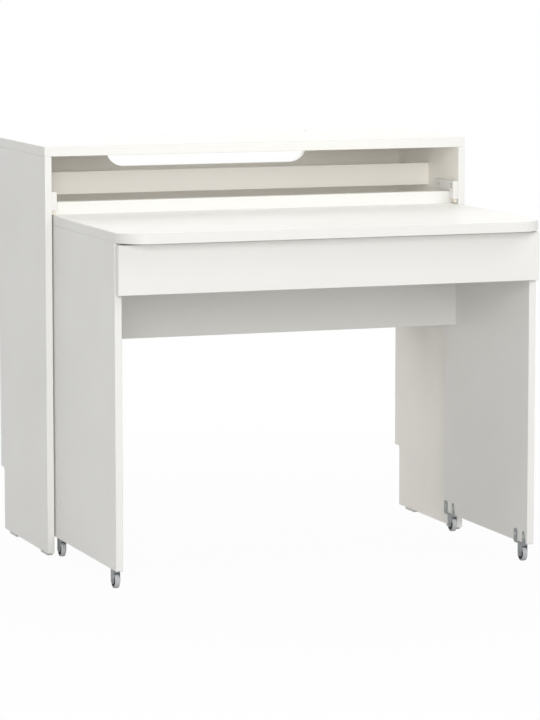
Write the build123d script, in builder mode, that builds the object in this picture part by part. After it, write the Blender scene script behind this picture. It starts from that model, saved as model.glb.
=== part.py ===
import os
from build123d import *

os.makedirs("parts", exist_ok=True)

# Desk with a pull-out worktop: a wall console, a desk on fixed casters that
# rolls out of it, and a full-width drawer under the worktop.
# Millimetres, floor at Z = 0, X across, the sitter on the -Y side, the wall on +Y.

# Overall sizes
console_width = 1000.0
console_depth = 378.0
console_height = 910.0
desk_reach = 503.0
desk_height = 758.3

# Board thicknesses
side_board = 16.0
top_board = 22.0
front_board = 18.0
hard_board = 4.0
edge_ease = 0.8
top_ease = 1.4

# Console details
glide_height = 5.5
glide_length = 50.0
glide_width = 13.4
glide_front_setback = 10.0
glide_rear_setback = 66.0
glide_ease = 1.0
glide_stem_radius = 2.5
glide_stem_length = 9.0
notch_depth = 28.4
notch_height = 148.5
notch_corner = 9.0
back_inset = 2.7
back_panel_height = 350.0
cutout_width = 495.0
cutout_height = 50.3
cutout_corner = 42.0
recess_depth = 38.0
recess_corner = 16.0
rail_setback = 177.5
rail_height = 51.2
rail_drop = 46.9

# Stop brackets on the console sides
bracket_thickness = 12.0
bracket_length = 113.0
bracket_setback = 1.0
bracket_end_radius = 4.0
bracket_ease = 0.8
bracket_arm_height = 22.5
bracket_clearance = 1.5
leg_depth = 22.0
foot_height = 9.0
foot_clearance = 2.2
foot_inset = 1.0
foot_side_inset = 3.0
foot_ease = 0.6
bracket_screw_front = 12.0
bracket_screw_rear = 28.0
bracket_screw_pitch = 7.0
bracket_screw_length = 24.0
bracket_head_radius = 3.0
stop_bumper_radius = 4.5
stop_bumper_height = 1.7
rest_gap = 0.3

# Desk details
desk_clearance = 3.5
ground_clearance = 41.7
top_overhang = 60.2
top_corner = 65.0
modesty_height = 252.6
modesty_setback = 46.1
upstand_height = 27.7
upstand_drop = 36.0
upstand_screw_length = 40.0

# Drawer
drawer_front_height = 105.6
drawer_top_gap = 4.0
drawer_front_inset = 2.3
drawer_front_gap = 2.2
drawer_side_gap = 1.5
drawer_box_height = 80.0
drawer_box_lift = 13.3
drawer_box_length = 360.0
drawer_front_ease = 1.0
drawer_fitting_low = 22.0
drawer_fitting_drop = 14.0
back_screw_length = 40.0
bottom_lift = 8.0
bottom_bite = 6.0
seat_gap = 0.3
bumper_radius = 4.0
bumper_height = 2.0
bumper_margin = 14.0

# Runner strips
runner_height = 17.0
runner_thickness = 9.0
runner_length = 340.0
runner_lift = 32.5
runner_setback = 4.0
runner_corner = 5.0
runner_screw_length = 20.0
groove_depth = 8.0
groove_clearance = 0.3

# Casters
wheel_diameter = 32.0
tyre_thickness = 2.8
tyre_shoulder = 1.4
wheel_width = 10.6
wheel_side_play = 0.6
hub_dish = 1.8
hub_rim = 1.8
hub_boss = 2.6
axle_radius = 3.0
axle_clearance = 0.05
rivet_radius = 4.4
rivet_height = 1.0
plate_thickness = 1.6
fork_half_width = 10.0
fork_tail = 5.5
fork_tail_corner = 5.0
prong_height = 27.0
rear_prong_near = 15.5
rear_prong_far = 32.0
rear_prong_corner = 4.5
front_prong_near = 14.3
front_prong_far = 29.0
front_prong_tip = 21.0
front_prong_corner = 2.8
web_drop = 4.0
caster_screw_lift = 15.0
caster_screw_length = 15.0
caster_front_setback = 35.5
caster_rear_setback = 36.0

# Fittings
dowel_radius = 4.0
dowel_half_length = 13.0
cam_radius = 7.5
cam_depth = 12.5
cam_setback = 24.0
cam_bolt_radius = 3.2
cam_bolt_bore = 4.0
cam_bolt_bite = 11.0
screw_radius = 2.0
screw_head_radius = 4.0
overcut = 1.0
recess_length = 4.4
recess_width = 1.0
recess_sink = 1.2
cam_slot_length = 9.0
cam_slot_width = 1.6
cam_slot_sink = 2.4
back_cam_margin = 60.0
modesty_cam_low = 50.0
modesty_cam_drop = 60.0

# Derived planes
half_width = console_width / 2
front_y = (desk_reach - console_depth) / 2
rear_y = front_y + console_depth
inner_x = half_width - side_board
desk_x = inner_x - desk_clearance
desk_inner_x = desk_x - side_board
desk_front_y = front_y - desk_reach
side_front_y = desk_front_y + top_overhang
leg_front_y = front_y + bracket_setback
leg_rear_y = leg_front_y + leg_depth
desk_rear_y = leg_rear_y + stop_bumper_height + rest_gap
top_under_z = desk_height - top_board
console_under_z = console_height - top_board
upstand_top_z = desk_height + upstand_height
arm_under_z = upstand_top_z + bracket_clearance
arm_top_z = arm_under_z + bracket_arm_height
drawer_back_y = side_front_y - drawer_front_gap
drawer_face_y = drawer_back_y - front_board
drawer_top_z = top_under_z - drawer_top_gap
drawer_low_z = drawer_top_z - drawer_front_height
box_low_z = drawer_low_z + drawer_box_lift
box_top_z = box_low_z + drawer_box_height
box_x = desk_inner_x - drawer_side_gap
box_inner_x = box_x - side_board
box_rear_y = drawer_back_y + drawer_box_length
wheel_radius = wheel_diameter / 2
fork_inner_x = desk_inner_x
wheel_x = fork_inner_x + wheel_side_play + wheel_width / 2
fork_outer_x = wheel_x + wheel_width / 2 + wheel_side_play
caster_front_y = side_front_y + caster_front_setback
caster_rear_y = desk_rear_y - caster_rear_setback

LEFT = -1
RIGHT = 1
SIDES = (LEFT, RIGHT)
SEATED = (Align.CENTER, Align.CENTER, Align.MIN)


def block(x_pair, y_pair, z_pair, ease=0.0, along=None):
    """Board between three pairs of limits, all its edges or those along one axis eased."""
    x_low, x_high = sorted(x_pair)
    y_low, y_high = sorted(y_pair)
    z_low, z_high = sorted(z_pair)
    centre = ((x_low + x_high) / 2, (y_low + y_high) / 2, (z_low + z_high) / 2)
    with BuildPart() as piece:
        with Locations(centre):
            Box(x_high - x_low, y_high - y_low, z_high - z_low)
        if ease > 0:
            chamfer(piece.edges().filter_by(along) if along else piece.edges(), ease)
    return piece.part


def rod(start, direction, length, radius):
    """Round bar that starts at a point and runs along a direction."""
    with BuildPart() as piece:
        with BuildSketch(Plane(origin=start, z_dir=direction)):
            Circle(radius)
        extrude(amount=length)
    return piece.part


def countersunk(head, direction, length, slotted, head_radius=screw_head_radius):
    """Countersunk screw, its head flush at a point, driven along a direction."""
    cone = head_radius - screw_radius
    seat = Plane(origin=head, z_dir=direction)
    with BuildPart() as piece:
        with Locations(seat):
            Cone(head_radius, screw_radius, cone, align=SEATED)
            Cylinder(screw_radius, length, align=SEATED)
            if slotted:
                for long, wide in ((recess_length, recess_width), (recess_width, recess_length)):
                    Box(long, wide, recess_sink, align=SEATED, mode=Mode.SUBTRACT)
    return piece.part


def cam_pocket(centre, face_dir):
    """Blind round pocket for a cam, opened at the board's face."""
    inward = tuple(-c for c in face_dir)
    return rod(centre, inward, cam_depth, cam_radius)


def cam_lock(centre, face_dir, bolt_dir):
    """Cam disc with a cross slot and a side hole for the bolt's head."""
    inward = tuple(-c for c in face_dir)
    bolt_axis = tuple(c + i * cam_depth / 2 for c, i in zip(centre, inward))
    with BuildPart() as piece:
        add(rod(centre, inward, cam_depth, cam_radius))
        with Locations(Plane(origin=centre, z_dir=inward)):
            for long, wide in ((cam_slot_length, cam_slot_width), (cam_slot_width, cam_slot_length)):
                Box(long, wide, cam_slot_sink, align=SEATED, mode=Mode.SUBTRACT)
        add(rod(bolt_axis, bolt_dir, cam_radius + overcut, cam_bolt_radius), mode=Mode.SUBTRACT)
    return piece.part


def cam_bolt(centre, face_dir, bolt_dir, radius, bite):
    """Bolt that runs from inside a cam across the joint into the next board."""
    axis = tuple(c - f * cam_depth / 2 for c, f in zip(centre, face_dir))
    return rod(axis, bolt_dir, cam_setback + bite, radius)


def cam_bolt_end(centre, face_dir, bolt_dir):
    """The part of the bolt that is screwed into the next board."""
    axis = tuple(c - f * cam_depth / 2 + b * cam_setback for c, f, b in zip(centre, face_dir, bolt_dir))
    return rod(axis, bolt_dir, cam_bolt_bite, cam_bolt_radius)


def save(piece, name):
    """Label a piece and write its file."""
    piece.label = name
    export_step(piece, "parts/" + name + ".step")


# Fitting positions, each as cam centre, face direction and bolt direction
back_rear_y = rear_y - back_inset
back_front_y = back_rear_y - side_board
back_low_z = console_under_z - back_panel_height
rail_front_y = front_y + rail_setback
rail_rear_y = rail_front_y + side_board
rail_top_z = console_under_z - rail_drop
rail_low_z = rail_top_z - rail_height
modesty_rear_y = desk_rear_y - modesty_setback
modesty_front_y = modesty_rear_y - side_board
modesty_low_z = top_under_z - modesty_height

UP = (0, 0, 1)
REARWARD = (0, 1, 0)
FORWARD = (0, -1, 0)

back_side_cams = []
for side in SIDES:
    for height in (back_low_z + back_cam_margin, console_under_z - back_cam_margin):
        spot = (side * (inner_x - cam_setback), back_rear_y, height)
        back_side_cams.append((spot, REARWARD, (side, 0, 0)))
back_top_cams = []
for side in SIDES:
    spot = side * (cutout_width / 2 + inner_x) / 2
    back_top_cams.append(((spot, back_rear_y, console_under_z - cam_setback), REARWARD, UP))
rail_cams = []
for side in SIDES:
    middle = (rail_low_z + rail_top_z) / 2
    rail_cams.append(((side * (inner_x - cam_setback), rail_rear_y, middle), REARWARD, (side, 0, 0)))
modesty_side_cams = []
for side in SIDES:
    for height in (modesty_low_z + modesty_cam_low, top_under_z - modesty_cam_drop):
        spot = (side * (desk_inner_x - cam_setback), modesty_rear_y, height)
        modesty_side_cams.append((spot, REARWARD, (side, 0, 0)))
modesty_top_cams = []
for side in SIDES:
    spot = (side * desk_inner_x * 0.5, modesty_rear_y, top_under_z - cam_setback)
    modesty_top_cams.append((spot, REARWARD, UP))
drawer_cams_at = []
for side in SIDES:
    for height in (box_low_z + drawer_fitting_low, box_top_z - drawer_fitting_drop):
        spot = (side * box_inner_x, drawer_back_y + cam_setback, height)
        drawer_cams_at.append((spot, (-side, 0, 0), FORWARD))

console_fittings = back_side_cams + back_top_cams + rail_cams
desk_fittings = modesty_side_cams + modesty_top_cams

# Dowels that locate each top on its sides
console_dowels_at = []
for side in SIDES:
    for share in (0.15, 0.5, 0.8):
        x = side * (half_width - side_board / 2)
        console_dowels_at.append((x, front_y + console_depth * share, console_under_z - dowel_half_length))
desk_dowels_at = []
side_length = desk_rear_y - side_front_y
for side in SIDES:
    for share in (0.12, 0.5, 0.88):
        x = side * (desk_x - side_board / 2)
        desk_dowels_at.append((x, side_front_y + side_length * share, top_under_z - dowel_half_length))

# Screws
arm_middle_z = (arm_under_z + arm_top_z) / 2
bracket_screws_at = []
for side in SIDES:
    face_x = side * (inner_x - bracket_thickness)
    bracket_screws_at.append((face_x, leg_front_y + bracket_length - bracket_screw_rear, arm_middle_z))
    for lift in (-bracket_screw_pitch / 2, bracket_screw_pitch / 2):
        bracket_screws_at.append((face_x, leg_front_y + bracket_screw_front, arm_middle_z + lift))
upstand_rear_y = desk_rear_y + side_board
upstand_screws_at = []
for share in (-0.9, -0.45, 0.0, 0.45, 0.9):
    upstand_screws_at.append((share * desk_x, upstand_rear_y, desk_height - top_board / 2))
runner_low_z = box_low_z + runner_lift
runner_z = runner_low_z + runner_height / 2
runner_front_y = side_front_y + runner_setback
runner_screws_at = []
for side in SIDES:
    for share in (0.08, 0.5, 0.92):
        x = side * (desk_inner_x - runner_thickness)
        runner_screws_at.append((x, runner_front_y + runner_length * share, runner_z))
back_screws_at = []
drawer_rear_mid_y = box_rear_y - side_board / 2
for side in SIDES:
    for height in (box_low_z + drawer_fitting_low, box_top_z - drawer_fitting_drop):
        back_screws_at.append((side * box_x, drawer_rear_mid_y, height))
casters_at = []
for side in SIDES:
    for y in (caster_front_y, caster_rear_y):
        casters_at.append((side, y))
caster_screws_at = []
for side, y in casters_at:
    front_offset = -(2 * front_prong_near + front_prong_far + front_prong_tip) / 4
    for offset in (front_offset, (rear_prong_near + rear_prong_far) / 2):
        spot = (side * (desk_inner_x - plate_thickness), y + offset, ground_clearance + caster_screw_lift)
        caster_screws_at.append((side, spot))


# Console top: full width, resting on the sides, recess for cables in its rear edge
with BuildPart() as console_top:
    with Locations((0, front_y + console_depth / 2, console_height - top_board / 2)):
        Box(console_width, console_depth, top_board)
    with BuildSketch(Plane.XY.offset(console_under_z)) as recess:
        with Locations((0, rear_y)):
            Rectangle(cutout_width, 2 * recess_depth)
        front_corners = recess.vertices().sort_by(Axis.Y)[0:2]
        fillet(front_corners, recess_corner)
    extrude(amount=top_board, mode=Mode.SUBTRACT)
    chamfer(console_top.edges(), edge_ease)
    for x, y, z in console_dowels_at:
        add(rod((x, y, z), UP, 2 * dowel_half_length, dowel_radius), mode=Mode.SUBTRACT)
    for centre, face, way in back_top_cams:
        add(cam_bolt_end(centre, face, way), mode=Mode.SUBTRACT)
save(console_top.part, "console_top")


def console_side(side):
    """Console side board with the skirting notch at its lower rear corner."""
    x_pair = (side * inner_x, side * half_width)
    with BuildPart() as piece:
        with BuildSketch(Plane.YZ.offset(min(x_pair))) as outline:
            with BuildLine():
                Polyline(
                    (front_y, glide_height),
                    (rear_y - notch_depth, glide_height),
                    (rear_y - notch_depth, notch_height),
                    (rear_y, notch_height),
                    (rear_y, console_under_z),
                    (front_y, console_under_z),
                    close=True,
                )
            make_face()
            inner_corner = outline.vertices().sort_by_distance((rear_y - notch_depth, notch_height, 0))
            fillet(inner_corner[0], notch_corner)
        extrude(amount=side_board)
        chamfer(piece.edges(), edge_ease)
        for x, y, z in console_dowels_at:
            if x * side > 0:
                add(rod((x, y, z), UP, 2 * dowel_half_length, dowel_radius), mode=Mode.SUBTRACT)
        for centre, face, way in back_side_cams + rail_cams:
            if centre[0] * side > 0:
                add(cam_bolt_end(centre, face, way), mode=Mode.SUBTRACT)
        for head in bracket_screws_at:
            if head[0] * side > 0:
                sink = countersunk(head, (side, 0, 0), bracket_screw_length, False, bracket_head_radius)
                add(sink, mode=Mode.SUBTRACT)
        for y_front in (front_y + glide_front_setback, rear_y - glide_rear_setback - glide_length):
            for share in (0.25, 0.75):
                stem = (side * (half_width - side_board / 2), y_front + glide_length * share, glide_height)
                add(rod(stem, UP, glide_stem_length, glide_stem_radius), mode=Mode.SUBTRACT)
    return piece.part


save(console_side(LEFT), "console_side_left")
save(console_side(RIGHT), "console_side_right")

# Console back panel: upper part only, wide cable cut-out in its top edge
with BuildPart() as console_back_panel:
    with BuildSketch(Plane.XZ.offset(-back_rear_y)) as panel_outline:
        with Locations((0, (back_low_z + console_under_z) / 2)):
            Rectangle(2 * inner_x, back_panel_height)
        with BuildSketch(mode=Mode.PRIVATE) as mouth:
            with Locations((0, console_under_z)):
                Rectangle(cutout_width, 2 * cutout_height)
            low_corners = mouth.vertices().sort_by(Axis.Y)[0:2]
            fillet(low_corners, cutout_corner)
        add(mouth.sketch, mode=Mode.SUBTRACT)
    extrude(amount=side_board)
    low_rim = console_back_panel.edges().filter_by(Axis.X).sort_by(Axis.Z)[0:2]
    chamfer(low_rim, edge_ease)
    for centre, face, way in back_side_cams + back_top_cams:
        add(cam_pocket(centre, face), mode=Mode.SUBTRACT)
        add(cam_bolt(centre, face, way, cam_bolt_bore, overcut), mode=Mode.SUBTRACT)
save(console_back_panel.part, "console_back_panel")

# Console rail: mid-depth stretcher below the top
with BuildPart() as console_rail:
    rail_y = (rail_front_y, rail_rear_y)
    add(block((-inner_x, inner_x), rail_y, (rail_low_z, rail_top_z), edge_ease, Axis.X))
    for centre, face, way in rail_cams:
        add(cam_pocket(centre, face), mode=Mode.SUBTRACT)
        add(cam_bolt(centre, face, way, cam_bolt_bore, overcut), mode=Mode.SUBTRACT)
save(console_rail.part, "console_rail")


def stop_bracket(side):
    """Moulded stop on a console side: a long arm with a leg hanging at its front."""
    x_pair = (side * (inner_x - bracket_thickness), side * inner_x)
    leg_low_z = desk_height + foot_clearance + foot_height
    with BuildPart() as piece:
        with BuildSketch(Plane.YZ.offset(min(x_pair))) as outline:
            with BuildLine():
                Polyline(
                    (leg_front_y, leg_low_z),
                    (leg_rear_y, leg_low_z),
                    (leg_rear_y, arm_under_z),
                    (leg_front_y + bracket_length, arm_under_z),
                    (leg_front_y + bracket_length, arm_top_z),
                    (leg_front_y, arm_top_z),
                    close=True,
                )
            make_face()
            far_end = outline.vertices().sort_by(Axis.X)[-2:]
            fillet(far_end, bracket_end_radius)
        extrude(amount=bracket_thickness)
        room_face = piece.faces().sort_by(Axis.X)[-1 if side < 0 else 0]
        chamfer(room_face.edges(), bracket_ease)
        for head in bracket_screws_at:
            if head[0] * side > 0:
                sink = countersunk(head, (side, 0, 0), bracket_screw_length, False, bracket_head_radius)
                add(sink, mode=Mode.SUBTRACT)
    return piece.part


save(stop_bracket(LEFT), "stop_bracket_left")
save(stop_bracket(RIGHT), "stop_bracket_right")

# Feet under the bracket legs, just clear of the worktop
with BuildPart() as bracket_feet:
    for side in SIDES:
        foot_x = side * (inner_x - bracket_thickness + foot_side_inset)
        foot_x_far = side * (inner_x - foot_inset)
        foot_y = (leg_front_y + 2 * foot_inset, leg_rear_y - 2 * foot_inset)
        foot_z = (desk_height + foot_clearance, desk_height + foot_clearance + foot_height)
        add(block((foot_x, foot_x_far), foot_y, foot_z, foot_ease))
save(bracket_feet.part, "bracket_feet")

# Rubber dots on the rear of the legs, met by the upstand
bumper_z = (arm_under_z + desk_height + foot_clearance + foot_height) / 2
with BuildPart() as stop_bumpers:
    for side in SIDES:
        spot = (side * (inner_x - bracket_thickness / 2), leg_rear_y, bumper_z)
        add(rod(spot, REARWARD, stop_bumper_height, stop_bumper_radius))
save(stop_bumpers.part, "stop_bumpers")

# Bracket screws
with BuildPart() as bracket_screws:
    for head in bracket_screws_at:
        way = (1, 0, 0) if head[0] > 0 else (-1, 0, 0)
        add(countersunk(head, way, bracket_screw_length, True, bracket_head_radius))
save(bracket_screws.part, "bracket_screws")

# Floor glides with stems, under the console sides
with BuildPart() as console_glides:
    for side in SIDES:
        x = side * (half_width - side_board / 2)
        for y_front in (front_y + glide_front_setback, rear_y - glide_rear_setback - glide_length):
            x_pair = (x - glide_width / 2, x + glide_width / 2)
            add(block(x_pair, (y_front, y_front + glide_length), (0, glide_height), glide_ease))
            for share in (0.25, 0.75):
                stem = (x, y_front + glide_length * share, glide_height / 2)
                add(rod(stem, UP, glide_height / 2 + glide_stem_length, glide_stem_radius))
save(console_glides.part, "console_glides")

# Dowels of the console
with BuildPart() as console_dowels:
    for x, y, z in console_dowels_at:
        add(rod((x, y, z), UP, 2 * dowel_half_length, dowel_radius))
save(console_dowels.part, "console_dowels")

# Cams and bolts of the console
with BuildPart() as console_cams:
    for centre, face, way in console_fittings:
        add(cam_lock(centre, face, way))
save(console_cams.part, "console_cams")
with BuildPart() as console_cam_bolts:
    for centre, face, way in console_fittings:
        add(cam_bolt(centre, face, way, cam_bolt_radius, cam_bolt_bite))
save(console_cam_bolts.part, "console_cam_bolts")

# Worktop with rounded front corners
with BuildPart() as desk_top:
    with BuildSketch(Plane.XY.offset(top_under_z)) as worktop:
        with Locations((0, (desk_front_y + desk_rear_y) / 2)):
            Rectangle(2 * desk_x, desk_rear_y - desk_front_y)
        front_corners = worktop.vertices().sort_by(Axis.Y)[0:2]
        fillet(front_corners, top_corner)
    extrude(amount=top_board)
    upper_rim = desk_top.faces().sort_by(Axis.Z)[-1].edges()
    lower_rim = desk_top.faces().sort_by(Axis.Z)[0].edges()
    chamfer(upper_rim, top_ease)
    chamfer(lower_rim, edge_ease)
    for x, y, z in desk_dowels_at:
        add(rod((x, y, z), UP, 2 * dowel_half_length, dowel_radius), mode=Mode.SUBTRACT)
    for centre, face, way in modesty_top_cams:
        add(cam_bolt_end(centre, face, way), mode=Mode.SUBTRACT)
    for head in upstand_screws_at:
        add(countersunk(head, FORWARD, upstand_screw_length, False), mode=Mode.SUBTRACT)
save(desk_top.part, "desk_top")


def desk_side(side):
    """Desk side board between the casters and the worktop."""
    x_pair = (side * desk_inner_x, side * desk_x)
    with BuildPart() as piece:
        add(block(x_pair, (side_front_y, desk_rear_y), (ground_clearance, top_under_z), edge_ease))
        for x, y, z in desk_dowels_at:
            if x * side > 0:
                add(rod((x, y, z), UP, 2 * dowel_half_length, dowel_radius), mode=Mode.SUBTRACT)
        for centre, face, way in modesty_side_cams:
            if centre[0] * side > 0:
                add(cam_bolt_end(centre, face, way), mode=Mode.SUBTRACT)
        for head in runner_screws_at:
            if head[0] * side > 0:
                add(countersunk(head, (side, 0, 0), runner_screw_length, False), mode=Mode.SUBTRACT)
        for which, head in caster_screws_at:
            if which == side:
                add(countersunk(head, (side, 0, 0), caster_screw_length, False), mode=Mode.SUBTRACT)
    return piece.part


save(desk_side(LEFT), "desk_side_left")
save(desk_side(RIGHT), "desk_side_right")

# Modesty panel between the desk sides
with BuildPart() as modesty_panel:
    panel_z = (modesty_low_z, top_under_z)
    add(block((-desk_inner_x, desk_inner_x), (modesty_front_y, modesty_rear_y), panel_z, edge_ease, Axis.X))
    for centre, face, way in desk_fittings:
        add(cam_pocket(centre, face), mode=Mode.SUBTRACT)
        add(cam_bolt(centre, face, way, cam_bolt_bore, overcut), mode=Mode.SUBTRACT)
save(modesty_panel.part, "modesty_panel")

# Upstand behind the worktop: it meets the stop brackets when the desk is out
with BuildPart() as rear_upstand:
    upstand_z = (desk_height - upstand_drop, upstand_top_z)
    add(block((-desk_x, desk_x), (desk_rear_y, upstand_rear_y), upstand_z, edge_ease))
    for head in upstand_screws_at:
        add(countersunk(head, FORWARD, upstand_screw_length, False), mode=Mode.SUBTRACT)
save(rear_upstand.part, "rear_upstand")
with BuildPart() as upstand_screws:
    for head in upstand_screws_at:
        add(countersunk(head, FORWARD, upstand_screw_length, True))
save(upstand_screws.part, "upstand_screws")

# Dowels, cams and bolts of the desk
with BuildPart() as desk_dowels:
    for x, y, z in desk_dowels_at:
        add(rod((x, y, z), UP, 2 * dowel_half_length, dowel_radius))
save(desk_dowels.part, "desk_dowels")
with BuildPart() as desk_cams:
    for centre, face, way in desk_fittings:
        add(cam_lock(centre, face, way))
save(desk_cams.part, "desk_cams")
with BuildPart() as desk_cam_bolts:
    for centre, face, way in desk_fittings:
        add(cam_bolt(centre, face, way, cam_bolt_radius, cam_bolt_bite))
save(desk_cam_bolts.part, "desk_cam_bolts")


def runner(side):
    """Moulded runner strip on a desk side, with rounded ends."""
    x_pair = (side * (desk_inner_x - runner_thickness), side * desk_inner_x)
    with BuildPart() as piece:
        with BuildSketch(Plane.YZ.offset(min(x_pair))) as outline:
            with Locations((runner_front_y + runner_length / 2, runner_z)):
                RectangleRounded(runner_length, runner_height, runner_corner)
        extrude(amount=runner_thickness)
        for head in runner_screws_at:
            if head[0] * side > 0:
                add(countersunk(head, (side, 0, 0), runner_screw_length, False), mode=Mode.SUBTRACT)
    return piece.part


save(runner(LEFT), "runner_left")
save(runner(RIGHT), "runner_right")
with BuildPart() as runner_screws:
    for head in runner_screws_at:
        way = (1, 0, 0) if head[0] > 0 else (-1, 0, 0)
        add(countersunk(head, way, runner_screw_length, True))
save(runner_screws.part, "runner_screws")

# Soft dots on the front edges of the desk sides, met by the drawer front
with BuildPart() as drawer_bumpers:
    for side in SIDES:
        for height in (drawer_low_z + bumper_margin, drawer_top_z - bumper_margin):
            spot = (side * (desk_x - side_board / 2), side_front_y, height)
            add(rod(spot, FORWARD, bumper_height, bumper_radius))
save(drawer_bumpers.part, "drawer_bumpers")

# Drawer front with a groove for the bottom
bottom_low_z = box_low_z + bottom_lift
bottom_top_z = bottom_low_z + hard_board
with BuildPart() as drawer_front:
    front_x = desk_x - drawer_front_inset
    front_z = (drawer_low_z, drawer_top_z)
    add(block((-front_x, front_x), (drawer_face_y, drawer_back_y), front_z, drawer_front_ease))
    groove_x = box_inner_x + bottom_bite + seat_gap
    groove_y = (drawer_back_y - bottom_bite - seat_gap, drawer_back_y + overcut)
    add(block((-groove_x, groove_x), groove_y, (bottom_low_z, bottom_top_z)), mode=Mode.SUBTRACT)
    for centre, face, way in drawer_cams_at:
        add(cam_bolt_end(centre, face, way), mode=Mode.SUBTRACT)
save(drawer_front.part, "drawer_front")


def drawer_side(side):
    """Drawer side: runner groove outside, bottom groove inside."""
    with BuildPart() as piece:
        x_pair = (side * box_inner_x, side * box_x)
        add(block(x_pair, (drawer_back_y, box_rear_y), (box_low_z, box_top_z), edge_ease, Axis.Y))
        cut_y = (drawer_back_y - overcut, box_rear_y + overcut)
        guide_z = (runner_low_z - groove_clearance, runner_low_z + runner_height + groove_clearance)
        guide_x = (side * (box_x - groove_depth), side * (box_x + overcut))
        add(block(guide_x, cut_y, guide_z), mode=Mode.SUBTRACT)
        slot_x = (side * (box_inner_x - overcut), side * (box_inner_x + bottom_bite + seat_gap))
        slot_z = (bottom_low_z, bottom_top_z)
        add(block(slot_x, cut_y, slot_z), mode=Mode.SUBTRACT)
        for centre, face, way in drawer_cams_at:
            if centre[0] * side > 0:
                add(cam_pocket(centre, face), mode=Mode.SUBTRACT)
                add(cam_bolt(centre, face, way, cam_bolt_bore, overcut), mode=Mode.SUBTRACT)
        for head in back_screws_at:
            if head[0] * side > 0:
                add(countersunk(head, (-side, 0, 0), back_screw_length, False), mode=Mode.SUBTRACT)
    return piece.part


save(drawer_side(LEFT), "drawer_side_left")
save(drawer_side(RIGHT), "drawer_side_right")

# Drawer back, standing on the bottom
with BuildPart() as drawer_back:
    back_y = (box_rear_y - side_board, box_rear_y)
    add(block((-box_inner_x, box_inner_x), back_y, (bottom_top_z, box_top_z), edge_ease, Axis.X))
    for head in back_screws_at:
        way = (-1, 0, 0) if head[0] > 0 else (1, 0, 0)
        add(countersunk(head, way, back_screw_length, False), mode=Mode.SUBTRACT)
save(drawer_back.part, "drawer_back")

# Drawer bottom, held in the grooves
with BuildPart() as drawer_bottom:
    pan_x = box_inner_x + bottom_bite
    pan_y = (drawer_back_y - bottom_bite, box_rear_y)
    add(block((-pan_x, pan_x), pan_y, (bottom_low_z, bottom_top_z)))
save(drawer_bottom.part, "drawer_bottom")

# Cams, bolts and screws of the drawer
with BuildPart() as drawer_cams:
    for centre, face, way in drawer_cams_at:
        add(cam_lock(centre, face, way))
save(drawer_cams.part, "drawer_cams")
with BuildPart() as drawer_cam_bolts:
    for centre, face, way in drawer_cams_at:
        add(cam_bolt(centre, face, way, cam_bolt_radius, cam_bolt_bite))
save(drawer_cam_bolts.part, "drawer_cam_bolts")
with BuildPart() as drawer_back_screws:
    for head in back_screws_at:
        way = (-1, 0, 0) if head[0] > 0 else (1, 0, 0)
        add(countersunk(head, way, back_screw_length, True))
save(drawer_back_screws.part, "drawer_back_screws")


def fork_leg(x_low, thickness, y):
    """One flat leg of the caster fork, rounded below the axle."""
    tail_z = wheel_radius - fork_tail
    with BuildPart() as piece:
        with BuildSketch(Plane.YZ.offset(x_low)) as outline:
            with Locations((y, (tail_z + ground_clearance) / 2)):
                Rectangle(2 * fork_half_width, ground_clearance - tail_z)
            low_corners = outline.vertices().sort_by(Axis.Y)[0:2]
            fillet(low_corners, fork_tail_corner)
        extrude(amount=thickness)
    return piece.part


def prong_plate(x_low, y):
    """Inner plate of the caster: a broad rear prong, a tapered front one and the web below."""
    web_z = ground_clearance - web_drop
    bridge_low_z = ground_clearance - plate_thickness
    top_z = ground_clearance + prong_height
    rear_near_y = y + rear_prong_near
    rear_far_y = y + rear_prong_far
    front_near_y = y - front_prong_near
    with BuildPart() as piece:
        with BuildSketch(Plane.YZ.offset(x_low)):
            with Locations(((rear_near_y + rear_far_y) / 2, (web_z + top_z) / 2)):
                RectangleRounded(rear_far_y - rear_near_y, top_z - web_z, rear_prong_corner)
        extrude(amount=plate_thickness)
        with BuildSketch(Plane.YZ.offset(x_low)) as front_prong:
            with BuildLine():
                Polyline(
                    (y - front_prong_far, bridge_low_z),
                    (front_near_y, bridge_low_z),
                    (front_near_y, top_z),
                    (y - front_prong_tip, top_z),
                    close=True,
                )
            make_face()
            fillet(front_prong.vertices().sort_by(Axis.Y)[-2:], front_prong_corner)
        extrude(amount=plate_thickness)
        with BuildSketch(Plane.YZ.offset(x_low)):
            with BuildLine():
                Polyline(
                    (front_near_y - front_prong_corner, bridge_low_z),
                    (y, bridge_low_z),
                    (y, web_z),
                    (rear_near_y + rear_prong_corner, web_z),
                    (rear_near_y + rear_prong_corner, ground_clearance),
                    (front_near_y - front_prong_corner, ground_clearance),
                    close=True,
                )
            make_face()
        extrude(amount=plate_thickness)
    return piece.part


def caster_bracket(side, y):
    """Pressed caster bracket: prong plate, bridge under the board and two fork legs."""
    plate_x = side * desk_inner_x
    plate_low = min(plate_x, plate_x - side * plate_thickness)
    outer_low = min(side * fork_outer_x, side * (fork_outer_x + plate_thickness))
    bridge_x = (side * (desk_inner_x - plate_thickness), side * (fork_outer_x + plate_thickness))
    bridge_z = (ground_clearance - plate_thickness, ground_clearance)
    with BuildPart() as piece:
        add(prong_plate(plate_low, y))
        add(fork_leg(plate_low, plate_thickness, y))
        add(fork_leg(outer_low, plate_thickness, y))
        add(block(bridge_x, (y - fork_half_width, y + fork_half_width), bridge_z))
        axle_start = (side * (desk_inner_x - plate_thickness - overcut), y, wheel_radius)
        axle_run = fork_outer_x - desk_inner_x + 2 * plate_thickness + 2 * overcut
        add(rod(axle_start, (side, 0, 0), axle_run, axle_radius), mode=Mode.SUBTRACT)
        for which, head in caster_screws_at:
            if which == side and abs(head[1] - y) < rear_prong_far:
                add(countersunk(head, (side, 0, 0), caster_screw_length, False), mode=Mode.SUBTRACT)
    return piece.part


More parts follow.
